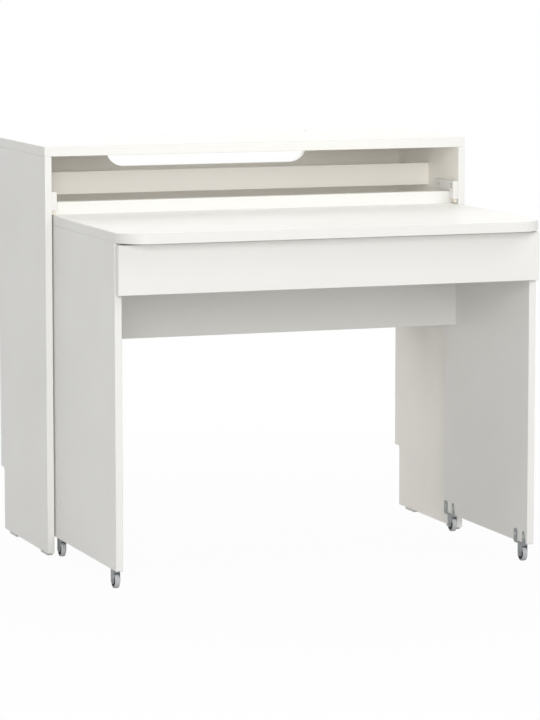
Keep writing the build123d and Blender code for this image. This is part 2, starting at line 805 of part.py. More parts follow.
def hub(side, y):
    """Wheel hub with a running bore and a dished face on each side."""
    x = side * wheel_x
    rim_radius = wheel_radius - tyre_thickness
    start = (x - wheel_width / 2, y, wheel_radius)
    with BuildPart() as piece:
        add(rod(start, (1, 0, 0), wheel_width, rim_radius))
        for face_x, way in ((x - wheel_width / 2, (1, 0, 0)), (x + wheel_width / 2, (-1, 0, 0))):
            with BuildSketch(Plane(origin=(face_x, y, wheel_radius), z_dir=way)):
                Circle(rim_radius - hub_rim)
                Circle(axle_radius + hub_boss, mode=Mode.SUBTRACT)
            extrude(amount=hub_dish, mode=Mode.SUBTRACT)
        add(rod(start, (1, 0, 0), wheel_width, axle_radius + axle_clearance), mode=Mode.SUBTRACT)
    return piece.part


def tyre(side, y):
    """Soft tyre around the hub, bevelled at both shoulders."""
    x = side * wheel_x
    with BuildPart() as piece:
        with BuildSketch(Plane(origin=(x - wheel_width / 2, y, wheel_radius), z_dir=(1, 0, 0))):
            Circle(wheel_radius)
        extrude(amount=wheel_width)
        chamfer(piece.edges(), tyre_shoulder)
        start = (x - wheel_width / 2 - overcut, y, wheel_radius)
        bore = rod(start, (1, 0, 0), wheel_width + 2 * overcut, wheel_radius - tyre_thickness)
        add(bore, mode=Mode.SUBTRACT)
    return piece.part


corner_names = {
    (LEFT, caster_front_y): "front_left",
    (LEFT, caster_rear_y): "rear_left",
    (RIGHT, caster_front_y): "front_right",
    (RIGHT, caster_rear_y): "rear_right",
}
for side, y in casters_at:
    corner = corner_names[(side, y)]
    save(caster_bracket(side, y), "caster_bracket_" + corner)
    save(hub(side, y), "wheel_hub_" + corner)
    save(tyre(side, y), "tyre_" + corner)

# Riveted axles of the casters
with BuildPart() as caster_axles:
    for side, y in casters_at:
        inner_face = side * (desk_inner_x - plate_thickness)
        outer_face = side * (fork_outer_x + plate_thickness)
        span = abs(outer_face - inner_face)
        start = (inner_face - side * rivet_height, y, wheel_radius)
        add(rod(start, (side, 0, 0), span + 2 * rivet_height, axle_radius))
        add(rod(start, (side, 0, 0), rivet_height, rivet_radius))
        add(rod((outer_face, y, wheel_radius), (side, 0, 0), rivet_height, rivet_radius))
save(caster_axles.part, "caster_axles")

# Caster screws
with BuildPart() as caster_screws:
    for side, head in caster_screws_at:
        add(countersunk(head, (side, 0, 0), caster_screw_length, True))
save(caster_screws.part, "caster_screws")
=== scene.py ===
import math

import bmesh
import bpy
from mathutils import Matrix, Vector


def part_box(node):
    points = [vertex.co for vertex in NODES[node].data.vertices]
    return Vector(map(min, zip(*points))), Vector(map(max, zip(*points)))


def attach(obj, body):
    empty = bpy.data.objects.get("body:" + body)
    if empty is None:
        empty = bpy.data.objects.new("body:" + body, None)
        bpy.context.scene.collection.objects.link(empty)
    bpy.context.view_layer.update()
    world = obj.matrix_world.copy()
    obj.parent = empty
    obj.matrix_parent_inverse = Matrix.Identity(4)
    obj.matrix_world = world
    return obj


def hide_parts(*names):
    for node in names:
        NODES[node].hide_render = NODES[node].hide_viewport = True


bl_info = {
    "name": "Pull-out kids desk",
    "version": (1, 0, 0),
    "blender": (4, 5, 0),
    "location": "View3D > Sidebar > Desk",
    "description": "Finishes a white board desk with casters, drawer and wall console",
    "category": "Object",
}

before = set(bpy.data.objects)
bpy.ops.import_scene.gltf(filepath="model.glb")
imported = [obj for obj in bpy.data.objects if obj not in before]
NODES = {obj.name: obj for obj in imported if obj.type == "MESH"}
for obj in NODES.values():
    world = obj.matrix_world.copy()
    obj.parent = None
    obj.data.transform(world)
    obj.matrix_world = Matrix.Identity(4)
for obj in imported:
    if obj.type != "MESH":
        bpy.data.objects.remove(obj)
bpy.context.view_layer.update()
CORNERS = ("front_left", "rear_left", "front_right", "rear_right")
PLAIN_SIDES = ("desk_side_left", "desk_side_right", "drawer_side_left", "drawer_side_right")
# nodes, the axis through the board, the setting that colours it, and which X side faces into the
# console, where painted warm bounce light goes; the back panel and rail take that painted light all
# over
BOARDS = (
    (PLAIN_SIDES, "X", "face", 0),
    (("console_side_left",), "X", "face", 1),
    (("console_side_right",), "X", "face", -1),
    (("modesty_panel", "rear_upstand", "drawer_front", "drawer_back"), "Y", "face", 0),
    (("console_back_panel", "console_rail"), "Y", "inner", 0),
    (("console_top", "desk_top"), "Z", "face", 0),
)
SCREWS = (
    "bracket_screws",
    "upstand_screws",
    "runner_screws",
    "caster_screws",
    "drawer_back_screws",
    "console_cam_bolts",
    "desk_cam_bolts",
    "drawer_cam_bolts",
)

# the sockets that a Mix node uses when it mixes colours
FACTOR, FIRST, SECOND, MIXED = 0, 6, 7, 2
WHITE = (1, 1, 1, 1)
BLACK = (0, 0, 0, 1)
# how squarely a surface faces along the board's axis before it counts as the flat face
FLAT = 0.9
# how strongly the glue line shows, and how much darker the laminate's clouds are
SEAM_SHARE = 0.4
CLOUD_SHADE = 0.975
# widths of the textures' features, in millimetres
FIBRE = 4
FLOW = 18
RUBBED = 7
FLECK = 0.8

# edges sharper than this stay sharp on a crisp piece
CRISP_ANGLE = math.radians(32)
# points closer than this, in metres, are joined
MERGE = 1e-6
# the tread's crown as a share of its radius, and the share of it that is lost (CROWN_FALL) at
# which share of the way out to the tread's edge (CROWN_REACH)
CROWN = 0.01
CROWN_REACH = 0.3
CROWN_FALL = 0.2
# the moulded hub's eased edges and the slope of its hollow's walls, in metres
EASE = 0.0004
LIP_EASE = 0.0003
DRAFT = 0.0006
# how far a rib beds into the hollow's floor and its walls, and stands back from the hub's face
RIB_ROOT = 0.0002
RIB_BED = 0.0003
RIB_BACK = 0.0007

# half the floor's width, and how far it lies below the glides, in metres
FLOOR_REACH = 30
FLOOR_DROP = 0.0002
# up to SHADOW_NEAR metres from the origin the floor is this share of plain white to the camera,
# with its shadow as the rest, and from SHADOW_FAR on it is plain white
PLAIN_SHARE = 0.965
SHADOW_NEAR = 0.9
SHADOW_FAR = 2.2
# each lamp's name, place, width in metres, and the setting that holds its power
LAMPS = (
    ("front_lamp", (-2.0, -6.0, 2.2), 2.6, "front"),
    ("right_lamp", (3.0, -2.6, 4.0), 3.0, "right"),
    ("overhead_lamp", (0.0, 0.0, 4.2), 3.6, "top"),
    ("back_lamp", (-1.0, 3.2, 3.6), 2.6, "back"),
    ("left_lamp", (-3.8, -3.6, 2.0), 2.6, "left"),
)
LAMP_AIM = Vector((0, 0, 0.5))
# the camera's sensor in millimetres, and how far it sees in metres
SENSOR_WIDTH = 36
CLIP_END = 100


def linear(code):
    """An sRGB hex colour as linear red, green and blue."""
    channels = [int(code[i : i + 2], 16) / 255 for i in (1, 3, 5)]
    return tuple(c / 12.92 if c <= 0.04045 else ((c + 0.055) / 1.055) ** 2.4 for c in channels)


def colour(name, code, text):
    """A colour setting whose default is an sRGB hex colour."""
    return bpy.props.FloatVectorProperty(
        name=name,
        description=text,
        subtype="COLOR",
        size=3,
        min=0,
        max=1,
        default=linear(code),
    )


def length(name, millimetres, text):
    """A length setting, given in millimetres."""
    return bpy.props.FloatProperty(
        name=name,
        description=text,
        subtype="DISTANCE",
        unit="LENGTH",
        min=0,
        default=millimetres / 1000,
    )


def watts(name, value, text):
    """A lamp's power setting."""
    return bpy.props.FloatProperty(
        name=name, description=text, unit="POWER", min=0, default=value
    )


def angle(name, value, text):
    """An angle setting, given in radians."""
    return bpy.props.FloatProperty(
        name=name, description=text, subtype="ANGLE", unit="ROTATION", default=value
    )


class BoardFinish(bpy.types.PropertyGroup):
    """White melamine-faced board and its edging."""

    face: colour("Face", "#F5F4F0", "Laminate on both faces of the boards")
    # painted warm bounce light: a warmer, lighter copy of the face laminate for the surfaces inside
    # the console
    inner: colour("Inner faces", "#FEFAF2", "Warmer laminate inside the console")
    edging: colour("Edging", "#F5F4F0", "Extruded band on the boards' edges")
    seam: colour("Seam", "#CFCCC4", "Thin glue line between band and laminate")
    back: colour("Hardboard", "#E9E6DF", "Lacquered face of the drawer bottom")
    pearl: length("Pearl grain", 1.6, "Spacing of the pressed pearl grain")
    cloud: length("Cloud", 140, "Size of the faint unevenness in the gloss")


class CasterFinish(bpy.types.PropertyGroup):
    """Pressed-steel casters with a soft tread."""

    steel: colour("Zinc", "#8F9494", "Zinc-plated pressed steel")
    hub: colour("Hub", "#0E0F10", "Moulded hub")
    tread: colour("Tread", "#C6C7C9", "Soft tread")
    spangle: length("Spangle", 2.2, "Size of the zinc's crystals")
    bore: length("Bore", 3.05, "Radius of the hole for the axle")
    boss: length("Boss", 2.6, "Wall round the bore")
    lip: length("Lip", 1.8, "Rim of the hub that carries the tread")
    dish: length("Dish", 1.8, "Depth of the hollow in each face of the hub")
    shoulder: length("Shoulder", 1.4, "Rounding of the tread's edges")
    rib: length("Rib", 1.2, "Thickness of the ribs in the hub")
    ribs: bpy.props.IntProperty(
        name="Ribs", description="Ribs in each face of the hub", min=3, max=12, default=6
    )
    sheet: length("Sheet", 1.6, "Thickness of the pressed sheet")
    fork: length("Fork", 20.0, "Width of the fork along the wheel's run")
    lip_gap: length("Lip gap", 2.0, "Room between the wheel's top and the fork's lips")
    lip_corner: length("Lip corner", 1.5, "Rounding of the lips' lower corners")


class FittingFinish(bpy.types.PropertyGroup):
    """Brackets, glides, pads, screws, cams and dowels."""

    bracket: colour("Bracket", "#F3F2EE", "Moulded stop brackets")
    glide: colour("Glide", "#DEDDD9", "Moulded floor glides")
    foot: colour("Foot", "#EEE6D8", "Moulded feet under the brackets")
    pad: colour("Pad", "#8C7A5C", "Rubber dots behind the brackets")
    dot: colour("Dot", "#E4E3DF", "Clear soft dots behind the drawer front")
    screw: colour("Screw", "#BDBDB8", "Zinc-plated screws and bolts")
    cam: colour("Cam", "#A8A7A3", "Cast cams")
    beech: colour("Beech", "#D9B98C", "Dowels")
    runner: colour("Runner", "#E8E7E2", "Moulded runner strips")


class StageSettings(bpy.types.PropertyGroup):
    """Floor, lamps and camera."""

    paper: colour("Floor", "#C8C8C8", "Floor, as the object's light and shadow meet it")
    lens: bpy.props.FloatProperty(
        name="Lens",
        description="Focal length in millimetres",
        unit="CAMERA",
        min=10,
        default=174.035,
    )
    stand: bpy.props.FloatVectorProperty(
        name="Camera",
        description="Where the camera stands",
        subtype="XYZ",
        unit="LENGTH",
        size=3,
        default=(-2.64259, -7.26655, 1.39762),
    )
    turn: angle("Turn", 0.34915, "Camera's turn from the desk's front")
    tilt: angle("Tilt", 0.12508, "Camera's tilt below level")
    ambient: bpy.props.FloatProperty(
        name="Ambient", description="Strength of the even light", min=0, default=0.385
    )
    front: watts("Front", 160, "Lamp beside the camera")
    right: watts("Right", 74, "High lamp on the right")
    top: watts("Top", 33, "Overhead lamp")
    back: watts("Back", 70, "High lamp behind the desk")
    left: watts("Left", 6, "Lamp on the left")


def add_node(tree, kind, inputs=None, **settings):
    """Adds a node, sets its options, and sets or links its inputs."""
    made = tree.nodes.new(kind)
    for name, value in settings.items():
        setattr(made, name, value)
    for socket, value in (inputs or {}).items():
        target = made.inputs[socket]
        if isinstance(value, bpy.types.NodeSocket):
            tree.links.new(value, target)
        else:
            target.default_value = value
    return made


def new_material(name):
    """An empty material with its node tree and output."""
    material = bpy.data.materials.new(name)
    material.use_nodes = True
    tree = material.node_tree
    tree.nodes.clear()
    return material, tree, add_node(tree, "ShaderNodeOutputMaterial")


def rgba(value):
    """A colour with full opacity."""
    return (*value[:3], 1.0)


def melamine_board(name, axis, shade, inward):
    """Melamine-faced particleboard, hot-pressed on a pearl plate, edges banded in extruded ABS.
    The eye gets a broad satin sheen with a fine pearl grain, and a thin line at each band."""
    finish = bpy.context.scene.board_finish
    material, tree, out = new_material("melamine_board_" + name)
    place = add_node(tree, "ShaderNodeTexCoord")
    normal = add_node(tree, "ShaderNodeSeparateXYZ", {0: place.outputs["Normal"]})
    facing = add_node(tree, "ShaderNodeMath", {0: normal.outputs[axis]}, operation="ABSOLUTE")
    # white on the eased corners between band and laminate, black on the flat faces
    seam = add_node(tree, "ShaderNodeValToRGB", {0: facing.outputs[0]})
    stops = seam.color_ramp.elements
    stops[0].position, stops[0].color = 0.35, BLACK
    stops[1].position, stops[1].color = 0.5, WHITE
    stops.new(0.88).color = WHITE
    stops.new(0.96).color = BLACK
    is_face = add_node(
        tree, "ShaderNodeMath", {0: facing.outputs[0], 1: FLAT}, operation="GREATER_THAN"
    )
    # the real pearl is about 0.5 mm; it is drawn coarser to show
    pearl = add_node(
        tree,
        "ShaderNodeTexNoise",
        {
            "Vector": place.outputs["Object"],
            "Scale": 1 / finish.pearl,
            "Detail": 3.0,
            "Roughness": 0.6,
        },
    )
    cloud = add_node(
        tree,
        "ShaderNodeTexNoise",
        {
            "Vector": place.outputs["Object"],
            "Scale": 1 / finish.cloud,
            "Detail": 2.0,
            "Roughness": 0.5,
        },
    )
    face = rgba(getattr(finish, shade))
    if inward:
        # painted bounce light: the side that faces into the console gets a warmer, lighter colour
        # than the outside
        side = add_node(
            tree, "ShaderNodeMath", {0: normal.outputs["X"], 1: inward}, operation="MULTIPLY"
        )
        painted_bay_mask = add_node(
            tree, "ShaderNodeMath", {0: side.outputs[0], 1: FLAT}, operation="GREATER_THAN"
        )
        face = add_node(
            tree,
            "ShaderNodeMix",
            {FACTOR: painted_bay_mask.outputs[0], FIRST: face, SECOND: rgba(finish.inner)},
            data_type="RGBA",
        ).outputs[MIXED]
    banded = add_node(
        tree,
        "ShaderNodeMix",
        {FACTOR: is_face.outputs[0], FIRST: rgba(finish.edging), SECOND: face},
        data_type="RGBA",
    )
    dull = rgba([c * CLOUD_SHADE for c in getattr(finish, shade)])
    tone = add_node(
        tree,
        "ShaderNodeMapRange",
        {
            "Value": cloud.outputs[0],
            "From Min": 0.35,
            "From Max": 0.65,
            "To Min": 0.0,
            "To Max": 0.35,
        },
    )
    clouded = add_node(
        tree,
        "ShaderNodeMix",
        {FACTOR: tone.outputs[0], FIRST: banded.outputs[MIXED], SECOND: dull},
        data_type="RGBA",
    )
    amount = add_node(
        tree, "ShaderNodeMath", {0: seam.outputs[0], 1: SEAM_SHARE}, operation="MULTIPLY"
    )
    base = add_node(
        tree,
        "ShaderNodeMix",
        {FACTOR: amount.outputs[0], FIRST: clouded.outputs[MIXED], SECOND: rgba(finish.seam)},
        data_type="RGBA",
    )
    sheen = add_node(
        tree,
        "ShaderNodeMapRange",
        {
            "Value": cloud.outputs[0],
            "From Min": 0.3,
            "From Max": 0.7,
            "To Min": 0.36,
            "To Max": 0.44,
        },
    )
    grain = add_node(
        tree,
        "ShaderNodeMapRange",
        {
            "Value": pearl.outputs[0],
            "From Min": 0.3,
            "From Max": 0.7,
            "To Min": -0.03,
            "To Max": 0.03,
        },
    )
    rough = add_node(
        tree, "ShaderNodeMath", {0: sheen.outputs[0], 1: grain.outputs[0]}, operation="ADD"
    )
    bump = add_node(
        tree,
        "ShaderNodeBump",
        {"Height": pearl.outputs[0], "Strength": 0.12, "Distance": 0.0002},
    )
    shader = add_node(
        tree,
        "ShaderNodeBsdfPrincipled",
        {
            "Base Color": base.outputs[MIXED],
            "Roughness": rough.outputs[0],
            "IOR": 1.5,
            "Normal": bump.outputs[0],
        },
    )
    tree.links.new(shader.outputs[0], out.inputs[0])
    return material


def lacquered_hardboard():
    """Hardboard, wet-pressed and roller-lacquered: flat, slightly mottled, duller than melamine."""
    finish = bpy.context.scene.board_finish
    material, tree, out = new_material("lacquered_hardboard")
    place = add_node(tree, "ShaderNodeTexCoord")
    fibre = add_node(
        tree,
        "ShaderNodeTexNoise",
        {
            "Vector": place.outputs["Object"],
            "Scale": 1000 / FIBRE,
            "Detail": 5.0,
            "Roughness": 0.65,
        },
    )
    tone = add_node(
        tree,
        "ShaderNodeMapRange",
        {
            "Value": fibre.outputs[0],
            "From Min": 0.3,
            "From Max": 0.7,
            "To Min": 0.0,
            "To Max": 0.5,
        },
    )
    dark = rgba([c * 0.9 for c in finish.back])
    base = add_node(
        tree,
        "ShaderNodeMix",
        {FACTOR: tone.outputs[0], FIRST: rgba(finish.back), SECOND: dark},
        data_type="RGBA",
    )
    bump = add_node(
        tree,
        "ShaderNodeBump",
        {"Height": fibre.outputs[0], "Strength": 0.2, "Distance": 0.0003},
    )
    shader = add_node(
        tree,
        "ShaderNodeBsdfPrincipled",
        {
            "Base Color": base.outputs[MIXED],
            "Roughness": 0.55,
            "IOR": 1.48,
            "Normal": bump.outputs[0],
        },
    )
    tree.links.new(shader.outputs[0], out.inputs[0])
    return material


def moulded_plastic(name, value, rough, grain_mm, depth_mm, mottled=0.05):
    """Moulded plastic against an eroded tool: even colour with a fine matt grain and faint
    flow marks."""
    material, tree, out = new_material(name)
    place = add_node(tree, "ShaderNodeTexCoord")
    grain = add_node(
        tree,
        "ShaderNodeTexNoise",
        {
            "Vector": place.outputs["Object"],
            "Scale": 1000 / grain_mm,
            "Detail": 2.0,
            "Roughness": 0.55,
        },
    )
    flow = add_node(
        tree,
        "ShaderNodeTexNoise",
        {"Vector": place.outputs["Object"], "Scale": 1000 / FLOW, "Detail": 1.0},
    )
    dark = rgba([c * (1 - mottled) for c in value])
    base = add_node(
        tree,
        "ShaderNodeMix",
        {FACTOR: flow.outputs[0], FIRST: dark, SECOND: rgba(value)},
        data_type="RGBA",
    )
    spread = add_node(
        tree,
        "ShaderNodeMapRange",
        {
            "Value": flow.outputs[0],
            "From Min": 0.3,
            "From Max": 0.7,
            "To Min": rough - 0.05,
            "To Max": rough + 0.05,
        },
    )
    bump = add_node(
        tree,
        "ShaderNodeBump",
        {"Height": grain.outputs[0], "Strength": 0.3, "Distance": depth_mm / 1000},
    )
    shader = add_node(
        tree,
        "ShaderNodeBsdfPrincipled",
        {
            "Base Color": base.outputs[MIXED],
            "Roughness": spread.outputs[0],
            "IOR": 1.5,
            "Normal": bump.outputs[0],
        },
    )
    tree.links.new(shader.outputs[0], out.inputs[0])
    return material


def zinc_plated_steel(name, value, rough, spangle):
    """Pressed mild steel, electroplated with zinc: soft grey metal with faint crystals and
    rubbed spots."""
    material, tree, out = new_material(name)
    place = add_node(tree, "ShaderNodeTexCoord")
    crystals = add_node(
        tree,
        "ShaderNodeTexVoronoi",
        {"Vector": place.outputs["Object"], "Scale": 1 / spangle},
    )
    rubbed = add_node(
        tree,
        "ShaderNodeTexNoise",
        {"Vector": place.outputs["Object"], "Scale": 1000 / RUBBED, "Detail": 4.0},
    )
    shade = add_node(tree, "ShaderNodeSeparateColor", {0: crystals.outputs["Color"]})
    dark = rgba([c * 0.86 for c in value])
    base = add_node(
        tree,
        "ShaderNodeMix",
        {FACTOR: shade.outputs[0], FIRST: dark, SECOND: rgba(value)},
        data_type="RGBA",
    )
    spread = add_node(
        tree,
        "ShaderNodeMapRange",
        {
            "Value": rubbed.outputs[0],
            "From Min": 0.3,
            "From Max": 0.7,
            "To Min": rough - 0.08,
            "To Max": rough + 0.1,
        },
    )
    bump = add_node(
        tree,
        "ShaderNodeBump",
        {"Height": rubbed.outputs[0], "Strength": 0.15, "Distance": 0.0002},
    )
    shader = add_node(
        tree,
        "ShaderNodeBsdfPrincipled",
        {
            "Base Color": base.outputs[MIXED],
            "Metallic": 1.0,
            "Roughness": spread.outputs[0],
            "Normal": bump.outputs[0],
        },
    )
    tree.links.new(shader.outputs[0], out.inputs[0])
    return material


def turned_beech():
    """Beech rod, turned and left raw: pale pinkish brown with short dark flecks along it."""
    finish = bpy.context.scene.fitting_finish
    material, tree, out = new_material("turned_beech")
    place = add_node(tree, "ShaderNodeTexCoord")
    stretched = add_node(
        tree, "ShaderNodeMapping", {0: place.outputs["Object"], "Scale": (1.0, 1.0, 0.08)}
    )
    fleck = add_node(
        tree,
        "ShaderNodeTexNoise",
        {"Vector": stretched.outputs[0], "Scale": 1000 / FLECK, "Detail": 3.0},
    )
    tone = add_node(
        tree,
        "ShaderNodeMapRange",
        {
            "Value": fleck.outputs[0],
            "From Min": 0.45,
            "From Max": 0.7,
            "To Min": 0.0,
            "To Max": 0.6,
        },
    )
    dark = rgba([c * 0.6 for c in finish.beech])
    base = add_node(
        tree,
        "ShaderNodeMix",
        {FACTOR: tone.outputs[0], FIRST: rgba(finish.beech), SECOND: dark},
        data_type="RGBA",
    )
    shader = add_node(
        tree,
        "ShaderNodeBsdfPrincipled",
        {"Base Color": base.outputs[MIXED], "Roughness": 0.6, "IOR": 1.5},
    )
    tree.links.new(shader.outputs[0], out.inputs[0])
    return material


def dress(names, material):
    """Gives CAD nodes a material."""
    for name in names:
        slots = NODES[name].material_slots
        for slot in slots:
            slot.material = material
        if not slots:
            NODES[name].data.materials.append(material)


def new_piece(name, mesh, material, body, replaces=(), crisp=False):
    """Puts a finished mesh in the scene on its body, with sharp edges kept where it is crisp."""
    piece = bpy.data.objects.new(name, mesh)
    bpy.context.collection.objects.link(piece)
    mesh.materials.append(material)
    for face in mesh.polygons:
        face.use_smooth = True
    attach(piece, body)
    if replaces:
        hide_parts(*replaces)
    if crisp:
        piece.modifiers.new("crisp", "EDGE_SPLIT").split_angle = CRISP_ANGLE


def turned(points, centre, steps=72):
    """Closed ring turned about the X axis from (x, radius) points."""
    bm = bmesh.new()
    rings = []
    for step in range(steps):
        turn = 2 * math.pi * step / steps
        ring = []
        for x, radius in points:
            spot = (x, radius * math.cos(turn), radius * math.sin(turn))
            ring.append(bm.verts.new(Vector(spot) + centre))
        rings.append(ring)
    count = len(points)
    for step in range(steps):
        here, there = rings[step], rings[(step + 1) % steps]
        for i in range(count):
            j = (i + 1) % count
            bm.faces.new((here[i], here[j], there[j], there[i]))
    bmesh.ops.remove_doubles(bm, verts=bm.verts, dist=MERGE)
    bmesh.ops.recalc_face_normals(bm, faces=bm.faces)
    return bm


def to_mesh(bm, name):
    """Turns a bmesh into a mesh and frees it."""
    mesh = bpy.data.meshes.new(name)
    bm.to_mesh(mesh)
    bm.free()
    return mesh


def arc(centre, radius, start, end, steps):
    """Points of an arc in a plane, angles in degrees."""
    made = []
    for i in range(steps + 1):
        turn = math.radians(start + (end - start) * i / steps)
        made.append((centre[0] + radius * math.cos(turn), centre[1] + radius * math.sin(turn)))
    return made


def mirrored(side, middle=()):
    """A whole profile from the (x, radius) points of its -X side and of its middle."""
    return [*side, *middle, *((-x, radius) for x, radius in reversed(side))]


def add_plate(bm, outline, y, thickness):
    """Adds a flat plate whose (x, z) outline faces along Y."""
    face = bm.faces.new([bm.verts.new((x, y, z)) for x, z in outline])
    grown = bmesh.ops.extrude_face_region(bm, geom=[face])["geom"]
    moved = [item for item in grown if isinstance(item, bmesh.types.BMVert)]
    bmesh.ops.translate(bm, vec=(0, thickness, 0), verts=moved)


def add_rib(bm, centre, turn, places, reaches, thickness):
    """Adds a rib that stands out from a wheel's axis, between two X places and two radii."""
    along = Vector((0, math.cos(turn), math.sin(turn)))
    side = Vector((0, -math.sin(turn), math.cos(turn))) * thickness / 2
    corners = []
    for x in places:
        for reach in reaches:
            for way in (-1, 1):
                spot = Vector((0, centre.y, centre.z)) + along * reach + side * way
                corners.append(bm.verts.new((x, spot.y, spot.z)))
    a, b, c, d, e, f, g, h = corners
    quads = ((a, b, d, c), (e, g, h, f), (a, e, f, b), (c, d, h, g), (a, c, g, e), (b, f, h, d))
    for quad in quads:
        bm.faces.new(quad)


def build_tread(finish, centre, half, outer, rim):
    """A tread with rounded shoulders and a slight crown."""
    shoulder = finish.shoulder
    crown = outer * CROWN
    bend = outer - crown - shoulder
    side = [(-half, rim), (-half, bend)]
    side += arc((-half + shoulder, bend), shoulder, 170, 95, steps=6)
    side.append((-half * CROWN_REACH, outer - crown * CROWN_FALL))
    return turned(mirrored(side, [(0, outer)]), centre)


def build_hub(finish, centre, half, rim):
    """A hub that is hollow on both faces, with ribs from its boss to its lip."""
    bore, dish = finish.bore, finish.dish
    boss = bore + finish.boss
    lip = rim - finish.lip
    side = [
        (-half, bore),
        (-half, boss - EASE),
        (-half + EASE, boss),
        (-half + dish, boss + DRAFT),
        (-half + dish, lip - DRAFT),
        (-half + LIP_EASE, lip),
        (-half, lip + EASE),
        (-half, rim),
    ]
    bm = turned(mirrored(side), centre)
    reaches = (boss - RIB_BED, lip + RIB_BED)
    for face in (-1, 1):
        deep = centre.x + face * (half - dish - RIB_ROOT)
        flush = centre.x + face * (half - RIB_BACK)
        for rib in range(finish.ribs):
            turn = 2 * math.pi * (rib + 0.5) / finish.ribs
            add_rib(bm, centre, turn, (deep, flush), reaches, finish.rib)
    bmesh.ops.recalc_face_normals(bm, faces=bm.faces)
    return bm


def seen(tree):
    """1 where the camera looks, also in a reflection or through a clear piece, else 0."""
    ray = add_node(tree, "ShaderNodeLightPath")
    direct = add_node(
        tree,
        "ShaderNodeMath",
        {0: ray.outputs["Is Camera Ray"], 1: ray.outputs["Is Glossy Ray"]},
        operation="MAXIMUM",
    )
    return add_node(
        tree,
        "ShaderNodeMath",
        {0: direct.outputs[0], 1: ray.outputs["Is Transmission Ray"]},
        operation="MAXIMUM",
    ).outputs[0]


def lay_floor(stage):
    """White paper under the desk, which the lamps light and the camera sees as plain white."""
    bm = bmesh.new()
    bmesh.ops.create_grid(bm, x_segments=1, y_segments=1, size=FLOOR_REACH)
    floor = bpy.data.objects.new("floor", to_mesh(bm, "floor"))
    bpy.context.collection.objects.link(floor)
    floor.location.z = -FLOOR_DROP
    material, tree, out = new_material("white_paper_floor")
    place = add_node(tree, "ShaderNodeNewGeometry")
    away = add_node(
        tree, "ShaderNodeVectorMath", {0: place.outputs["Position"]}, operation="LENGTH"
    )
    # near the desk the camera gets a small share of the soft shadow
    plainness = add_node(
        tree,
        "ShaderNodeMapRange",
        {
            "Value": away.outputs["Value"],
            "From Min": SHADOW_NEAR,
            "From Max": SHADOW_FAR,
            "To Min": PLAIN_SHARE,
            "To Max": 1.0,
        },
    )
    share = add_node(
        tree, "ShaderNodeMath", {0: seen(tree), 1: plainness.outputs[0]}, operation="MULTIPLY"
    )
    paper = add_node(tree, "ShaderNodeBsdfDiffuse", {"Color": rgba(stage.paper)})
    plain = add_node(tree, "ShaderNodeEmission", {"Color": WHITE, "Strength": 1.0})
    both = add_node(
        tree,
        "ShaderNodeMixShader",
        {0: share.outputs[0], 1: paper.outputs[0], 2: plain.outputs[0]},
    )
    tree.links.new(both.outputs[0], out.inputs[0])
    floor.data.materials.append(material)


def light_evenly(stage):
    """Soft light from all round, which the camera sees as plain white."""
    world = bpy.data.worlds.new("even_light")
    world.use_nodes = True
    bpy.context.scene.world = world
    tree = world.node_tree
    tree.nodes.clear()
    strength = add_node(
        tree,
        "ShaderNodeMapRange",
        {"Value": seen(tree), "To Min": stage.ambient, "To Max": 1.0},
    )
    sky = add_node(
        tree, "ShaderNodeBackground", {"Color": WHITE, "Strength": strength.outputs[0]}
    )
    add_node(tree, "ShaderNodeOutputWorld", {0: sky.outputs[0]})


def hang_lamps(stage):
    """Square lamps round the desk, all turned towards its middle."""
    for name, spot, size, power in LAMPS:
        data = bpy.data.lights.new(name, "AREA")
        data.size = size
        data.energy = getattr(stage, power)
        lamp = bpy.data.objects.new(name, data)
        lamp.location = spot
        lamp.rotation_euler = (LAMP_AIM - Vector(spot)).to_track_quat("-Z", "Y").to_euler()
        bpy.context.collection.objects.link(lamp)


def stand_camera(stage):
    """The camera, placed as the photograph's was."""
    data = bpy.data.cameras.new("camera")
    data.sensor_width = SENSOR_WIDTH
    data.lens = stage.lens
    data.clip_end = CLIP_END
    camera = bpy.data.objects.new("camera", data)
    camera.location = stage.stand
    camera.rotation_euler = (math.pi / 2 - stage.tilt, 0, -stage.turn)
    bpy.context.collection.objects.link(camera)
    bpy.context.scene.camera = camera


class DESK_OT_boards(bpy.types.Operator):
    """Finishes all the melamine boards and the drawer bottom"""

    bl_idname = "desk.boards"
    bl_label = "Boards"

    def execute(self, context):
        for names, axis, shade, inward in BOARDS:
            dress(names, melamine_board(names[0], axis, shade, inward))
        dress(["drawer_bottom"], lacquered_hardboard())
        return {"FINISHED"}


